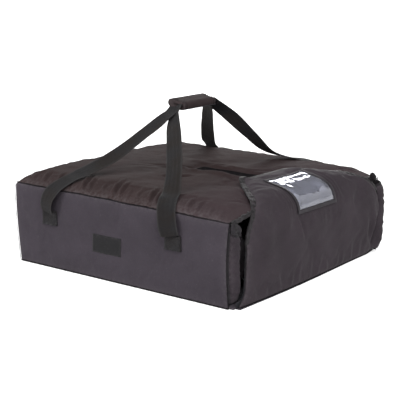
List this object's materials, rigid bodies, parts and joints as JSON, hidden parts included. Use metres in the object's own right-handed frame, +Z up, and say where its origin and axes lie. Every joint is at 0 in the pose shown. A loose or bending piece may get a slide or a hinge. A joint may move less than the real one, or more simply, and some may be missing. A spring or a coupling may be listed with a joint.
{
  "type": "pizza delivery bag",
  "caption": "Padded square bag with a front flap that folds over the mouth onto the top, webbing straps meeting in a hand wrap, and a clear card pocket.",
  "frame": {"origin": "centre of the bag's footprint between the side panels and between the mouth side and the back panel, on the face that rests on the table", "axes": "+Z up from the table, +Y from the mouth towards the back panel, +X towards the right side panel seen from the mouth"},
  "size_m": [0.5193, 0.5432, 0.321],
  "materials": {
    "nylon": "matt woven nylon, charcoal",
    "nylon_top": "matt woven nylon, charcoal, a little browner",
    "padding": "fibre wadding",
    "lining": "smooth coated nylon",
    "binding": "ribbed binding tape",
    "webbing": "woven webbing",
    "loop_tape": "loop tape pile",
    "hook_tape": "hook tape",
    "patch": "plain sewn patch",
    "vinyl": "clear glossy vinyl"
  },
  "bodies": {
    "bag": {"outer_top": "nylon_top", "padding_top": "padding", "lining_top": "lining", "outer_bottom": "nylon", "padding_bottom": "padding", "lining_bottom": "lining", "outer_back": "nylon", "padding_back": "padding", "lining_back": "lining", "outer_left": "nylon", "padding_left": "padding", "lining_left": "lining", "outer_right": "nylon", "padding_right": "padding", "lining_right": "lining", "mouth_binding_top": "binding", "mouth_binding_left": "binding", "mouth_binding_right": "binding", "loop_tape_top": "loop_tape", "side_patch": "patch", "strap_tab_rear_left": "webbing", "strap_tab_rear_right": "webbing", "strap_tab_front_left": "webbing", "strap_tab_front_right": "webbing", "strap_leg_rear_left": "webbing", "strap_leg_rear_right": "webbing", "strap_leg_front_left": "webbing", "strap_leg_front_right": "webbing"},
    "flap": {"flap_outer": "nylon", "flap_padding": "padding", "flap_lining": "lining", "flap_binding_left": "binding", "flap_binding_right": "binding", "window_lower": "vinyl", "pocket_tape_bottom": "binding", "pocket_tape_left_lower": "binding", "pocket_tape_right_lower": "binding"},
    "tongue": {"tongue_outer": "nylon", "tongue_padding": "padding", "tongue_lining": "lining", "tongue_binding": "binding", "hook_tape_tongue": "hook_tape", "window_upper": "vinyl", "pocket_tape_rear": "binding", "pocket_tape_left_upper": "binding", "pocket_tape_right_upper": "binding"},
    "wing_left": {"wing_left": "nylon", "wing_left_binding": "binding"},
    "wing_right": {"wing_right": "nylon", "wing_right_binding": "binding"},
    "grip": {"strap_middle_rear": "webbing", "strap_middle_front": "webbing", "hand_wrap": "nylon", "wrap_loop_tape": "loop_tape"},
    "closure": {"wrap_closure": "nylon", "wrap_hook_tape": "hook_tape"}
  },
  "joints": [
    {"name": "flap_hinge", "type": "hinge", "parent": "bag", "child": "flap", "pos_m": [0, -0.2761, 0], "axis": [1, 0, 0], "range_deg": [0, 90]},
    {"name": "tongue_fold", "type": "hinge", "parent": "flap", "child": "tongue", "pos_m": [0, -0.26524, 0.18492], "axis": [1, 0, 0], "range_deg": [0, 90]},
    {"name": "wing_left_fold", "type": "hinge", "parent": "bag", "child": "wing_left", "pos_m": [-0.2428, -0.252, 0.08], "axis": [0, 0, 1], "range_deg": [0, 74]},
    {"name": "wing_right_fold", "type": "hinge", "parent": "bag", "child": "wing_right", "pos_m": [0.2428, -0.252, 0.08], "axis": [0, 0, -1], "range_deg": [0, 74]},
    {"name": "handle_drop", "type": "slide", "parent": "bag", "child": "grip", "axis": [0, 0, -1], "range_m": [0, 0.115], "deforming": ["strap_leg_rear_left", "strap_leg_rear_right", "strap_leg_front_left", "strap_leg_front_right"]},
    {"name": "wrap_open", "type": "hinge", "parent": "grip", "child": "closure", "pos_m": [0, -0.003, 0.321], "axis": [-1, 0, 0], "range_deg": [0, 150]}
  ]
}
